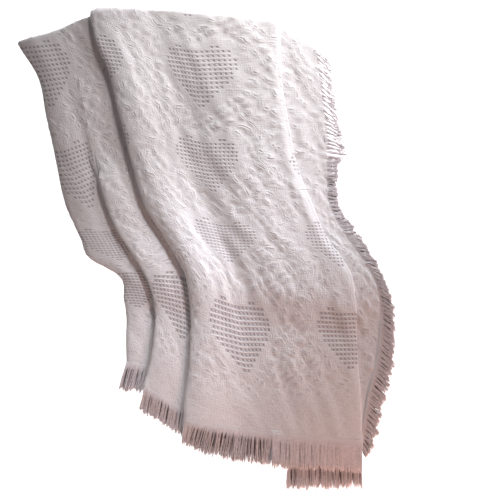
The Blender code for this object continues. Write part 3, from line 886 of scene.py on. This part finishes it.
def grow_fringe(edge, begin, end, growth, length_at):
    """Strands along part of an edge of the cloth."""
    along = walk(edge)
    wobble = np.random.default_rng(growth.seed)
    widths = wobble.uniform(*growth.locks, size=MOST_LOCKS)
    borders = begin - 2 + np.concatenate([[0.0], np.cumsum(widths)])
    tilt = wobble.uniform(-LOCK_TILT, LOCK_TILT, size=MOST_LOCKS)
    cut = wobble.uniform(*growth.cuts, size=MOST_LOCKS)
    slits = wobble.uniform(*SLITS, size=MOST_LOCKS)
    strands = []
    for lay in LAYS:
        for at in np.arange(begin, end, lay.pitch):
            at += wobble.uniform(-UNEVEN, UNEVEN)
            dark = np.interp(at, growth.stations, growth.darks)
            clings = lay.cling > 0
            if not clings and dark < OPEN_BELOW:
                continue
            root = np.array([np.interp(at, along, part) for part in edge.T])
            lock = np.searchsorted(borders, at)
            width = borders[lock] - borders[lock - 1]
            off = (at - borders[lock - 1]) / width - 0.5  # from -0.5 to 0.5 across its lock
            # Painted shade: most on the lowest lay and in the slits between locks.
            depth = lay.depth * dark * wobble.uniform(*PAINTED_SHADE_VARIES)
            if not clings and (0.5 - abs(off)) * width < SLIT[0]:
                depth = max(depth, slits[lock] * min(SLIT[1] * dark, 1.0))
            turn = (tilt[lock] + wobble.uniform(-STRAND_TILT, STRAND_TILT)) * clings
            angle = math.radians(np.interp(at, growth.stations, growth.angles) + turn)
            reach = cut[lock] * lay.reach * (1 - SCALLOP * 4 * off * off)
            reach = reach * wobble.uniform(*LENGTH_VARIES)
            strand = Strand(
                root=root,
                direction=np.array((math.cos(angle), math.sin(angle), 0.0)),
                length=length_at(at, root, angle) * reach + STRAND_START,
                rest=growth.rest + lay.level,
                pull=-off * width * lay.cling * wobble.uniform(*PULL_VARIES),
                wave=wobble.uniform(*growth.wave),
                phase=wobble.uniform(0, math.tau),
                radius=lay.radius * wobble.uniform(*RADIUS_VARIES),
                depth=min(depth, 1.0),
            )
            strands.append(strand)
    return strands


# Shares of a strand's length: first, where it turns from the cloth's colour, painted pale over the
# shade at its root, to the yarn's; then where its depth, the shade painted on it, grows between the
# first two and halves from the third to the tip.
ROOT_PAINTED_PALE = (0.05, 0.3)
SHADE_GROWS = (0.1, 0.4, 0.7)


def make_strands(name, strands):
    """All strands as one mesh, drawn round their paths."""
    curve = bpy.data.curves.new(name, "CURVE")
    curve.dimensions = "3D"
    curve.bevel_depth = 0.001
    curve.bevel_resolution = 0
    for strand in strands:
        path, radii = strand_path(strand)
        spline = curve.splines.new("POLY")
        spline.points.add(STRAND_POINTS - 1)
        for point, place, radius in zip(spline.points, to_world(path), radii):
            point.co = (*place, 1.0)
            point.radius = radius
    drawn = bpy.data.objects.new(name + "_paths", curve)
    mesh = bpy.data.meshes.new_from_object(drawn)
    mesh.name = name
    mesh.shade_smooth()

    # The depth, the shade painted on a strand, grows along it from -1, where it is painted as pale as
    # the cloth over the shade at the hem, so that the fringe has no dark line where it starts.
    ring = len(mesh.vertices) // (len(strands) * STRAND_POINTS)
    share = np.linspace(0.0, 1.0, STRAND_POINTS)
    grown = ease(share, *SHADE_GROWS[:2]) * (1 - 0.5 * ease(share, SHADE_GROWS[2], 1.0))
    pale = 1 - ease(share, *ROOT_PAINTED_PALE)
    depths = np.outer([strand.depth for strand in strands], np.repeat(grown, ring))
    depths = depths - np.repeat(pale, ring)
    depth = mesh.attributes.new("depth", "FLOAT", "POINT")
    depth.data.foreach_set("value", depths.ravel())

    # The ends of the strands are closed.
    graph = bmesh.new()
    graph.from_mesh(mesh)
    bmesh.ops.holes_fill(graph, edges=[edge for edge in graph.edges if edge.is_boundary])
    graph.to_mesh(mesh)
    graph.free()
    bpy.data.objects.remove(drawn)
    bpy.data.curves.remove(curve)
    return link(name, mesh)


def hem_strands(edge):
    """The strands of all the runs that show."""
    along = walk(edge)
    strands = []
    for seed, run in enumerate(HEM_RUNS):
        begin = np.interp(post_number(run.start, last=True), places, along) + run.start_margin
        end = np.interp(post_number(run.end), places, along) - run.end_margin

        def length_at(at, root, angle):
            """From the root to the line of the tips, found by going there and looking again."""
            length = 0.0
            for _ in range(3):
                tip = np.interp(root[0] + length * math.cos(angle), *zip(*run.tips))
                length = (tip - root[1]) / math.sin(angle)
            return length

        # Five stations, as many as the longest list of a run.
        stations = np.linspace(begin, end, 5)
        angles = np.interp(stations, np.linspace(begin, end, len(run.angles)), run.angles)
        darks = np.interp(stations, np.linspace(begin, end, len(run.darks)), run.darks)
        growth = Growth(stations, angles, darks, run.rest, HEM_LOCKS, HEM_CUTS, HEM_WAVE, seed)
        strands += grow_fringe(edge, begin, end, growth, length_at)
    return strands


YARN = (0.94, 0.90, 0.93, 1)
YARN_SHADE = (0.80, 0.75, 0.78, 1)
YARN_PAINTED_SHADE = (0.045, 0.03, 0.035, 1)  # painted shade in the slits and on the lowest strands, where no light comes
TONES, FIBRES = 160.0, 1400.0  # how fine the yarn's changes of tone and its fibres are


def yarn_material():
    """The fringe's cotton, with shade painted darker the deeper a strand lies, and painted as pale as
    the cloth at its root.
    """
    material, shader = new_cotton("fringe_cotton_yarn", 0.88, 0.2)
    tree = material.node_tree
    start = Value(tree, None)
    place = start.node("ShaderNodeTexCoord", {}, {}, output="Object")
    apart = place.node("ShaderNodeSeparateXYZ", {}, {0: place})
    x, y, z = (Value(tree, socket) for socket in apart.socket.node.outputs)
    tone = x.grain(x, y, z, TONES)
    fibre = x.grain(x, y, z, FIBRES)
    light = tone.soft(0.25, 0.75).mix(YARN_SHADE, YARN)
    depth = start.node("ShaderNodeAttribute", {"attribute_name": "depth"}, {}, output="Fac")
    # Painted shade: the deeper a strand lies, the darker it is painted.
    colour = depth.soft(0.0, 1.0).mix(light, YARN_PAINTED_SHADE)
    # Painted light: near its root a strand is painted as pale as the cloth, over the shade there.
    colour = (0 - depth).soft(0.0, 1.0).mix(colour, COTTON)
    tree.links.new(colour.socket, shader.inputs["Base Color"])
    bump = start.node("ShaderNodeBump", {}, {"Strength": 0.6, "Distance": 0.0004, "Height": fibre})
    tree.links.new(bump.socket, shader.inputs["Normal"])
    return material


yarn = yarn_material()
hem_fringe = make_strands("hem_warp_ends", hem_strands(cloth[0]))
hem_fringe.data.materials.append(yarn)
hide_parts("hem_fringe")
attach(hem_fringe, "root")


# The fringe along the right border: the weft's ends, shorter and crinkled, pushed out to the right
# and down. It shares its yarn with the hem's.

# At these distances down the border: how long the strands are, how they point, in degrees
# clockwise from the right, and how much shade is painted between them.
SIDE_STATIONS = (110, 230, 320, 360, 378, 430, 480, 525, 575, 640, 700, 770, 900, 960, 1000, 1028)
SIDE_LENGTHS = (46, 50, 52, 48, 31, 28, 28, 34, 38, 43, 47, 49, 49, 46, 42, 36)
SIDE_ANGLES = (42, 38, 20, 8, 6, 8, 4, -4, 8, 28, 34, 41, 44, 43, 45, 75)
SIDE_DARKS = (0.0, 0.0, 0.05, 0.1, 0.3, 0.45, 0.45, 0.45, 0.45, 0.5, 0.6, 0.7, 0.8, 0.9, 0.9, 0.8)
SIDE_LOCKS = (4.0, 14.0)
SIDE_CUTS = (0.82, 1.07)
SIDE_WAVE = (0.9, 2.8)
SIDE_MARGINS = (3.0, 1.0)  # left bare at the border's lower and upper ends


def side_strands(edge):
    """The strands of the whole right border."""
    # The edge's points run upwards, so what goes with the stations is turned round.
    along = walk(edge)
    stations = np.interp(SIDE_STATIONS[::-1], edge[::-1, 1], along[::-1])
    growth = Growth(
        stations=stations,
        angles=SIDE_ANGLES[::-1],
        darks=SIDE_DARKS[::-1],
        rest=0.0,
        locks=SIDE_LOCKS,
        cuts=SIDE_CUTS,
        wave=SIDE_WAVE,
        seed=9,
    )

    def length_at(at, root, angle):
        return np.interp(at, stations, SIDE_LENGTHS[::-1])

    return grow_fringe(edge, SIDE_MARGINS[0], along[-1] - SIDE_MARGINS[1], growth, length_at)


side_fringe = make_strands("side_weft_ends", side_strands(cloth[: len(FRONT_ROWS), -1]))
side_fringe.data.materials.append(yarn)
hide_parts("side_fringe")
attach(side_fringe, "root")


# The floor, the light and the camera: a pale floor under soft studio light that comes from the
# upper right, seen from straight above.

floor_mesh = bpy.data.meshes.new("floor")
floor_graph = bmesh.new()
bmesh.ops.create_grid(floor_graph, x_segments=1, y_segments=1, size=4.0)
floor_graph.to_mesh(floor_mesh)
floor_graph.free()
floor = link("floor", floor_mesh)
paint = bpy.data.materials.new("pale_floor")
paint.use_nodes = True
settings = paint.node_tree.nodes["Principled BSDF"].inputs
settings["Base Color"].default_value = (0.95, 0.95, 0.95, 1)
settings["Roughness"].default_value = 0.95
settings["Emission Color"].default_value = (1, 1, 1, 1)
settings["Emission Strength"].default_value = 0.95
floor_mesh.materials.append(paint)


def aim_light(name, kind, place, target, watts, colour):
    """A light at a place, turned to its target."""
    lamp = bpy.data.lights.new(name, kind)
    lamp.energy = watts
    lamp.color = colour
    holder = bpy.data.objects.new(name, lamp)
    bpy.context.scene.collection.objects.link(holder)
    away = Vector(place) - Vector(target)
    holder.matrix_world = Matrix.Translation(place) @ away.to_track_quat("Z", "Y").to_matrix().to_4x4()
    return lamp


def softbox(name, place, target, size, watts, colour):
    lamp = aim_light(name, "AREA", place, target, watts, colour)
    lamp.shape = "DISK"
    lamp.size = size


def soft_spot(name, place, target, degrees, watts, colour):
    lamp = aim_light(name, "SPOT", place, target, watts, colour)
    lamp.spot_size = math.radians(degrees)
    lamp.spot_blend = 1.0
    lamp.shadow_soft_size = 0.15


softbox("key_box", (1.1, 1.3, 0.45), (0.12, 0.22, 0.0), 0.4, 16.0, (0.97, 0.97, 1.0))
softbox("top_box", (0.2, 1.7, 0.6), (0.1, 0.2, 0.0), 0.4, 6.5, (1.0, 0.95, 0.95))
soft_spot("upper_spot", (0.3, 1.6, 0.7), (0.05, 0.35, 0.0), 34.0, 52.0, (1.0, 0.98, 0.96))
soft_spot("lower_spot", (0.9, 0.9, 0.9), (-0.1, -0.2, 0.0), 24.0, 54.0, (0.9, 0.92, 1.0))
soft_spot("right_spot", (1.2, 1.2, 0.9), (0.32, 0.38, 0.0), 18.0, 13.0, (0.97, 0.98, 1.0))
softbox("warm_fill", (0.75, -1.3, 0.5), (0.15, -0.3, 0.0), 0.5, 8.3, (1.0, 0.56, 0.44))
softbox("left_fill", (-0.9, -1.1, 0.5), (0.0, -0.2, 0.0), 0.5, 4.0, (1.0, 0.84, 0.78))

world = bpy.data.worlds.new("studio")
world.use_nodes = True
settings = world.node_tree.nodes["Background"].inputs
settings["Color"].default_value = (1.0, 0.95, 0.97, 1)
settings["Strength"].default_value = 0.05
bpy.context.scene.world = world
bpy.context.scene.view_settings.view_transform = "Standard"

FRAME_WIDTH = 1.15  # metres across the picture, at the cloth's height over the floor
CLOTH_HEIGHT = 0.02
CAMERA_LENS = 150.0
CAMERA_OVER = (0.0925, -0.0076)
camera = bpy.data.cameras.new("camera")
camera.lens = CAMERA_LENS
eye = bpy.data.objects.new("camera", camera)
bpy.context.scene.collection.objects.link(eye)
distance = FRAME_WIDTH * CAMERA_LENS / camera.sensor_width
eye.location = (*CAMERA_OVER, distance + CLOTH_HEIGHT)
bpy.context.scene.camera = eye
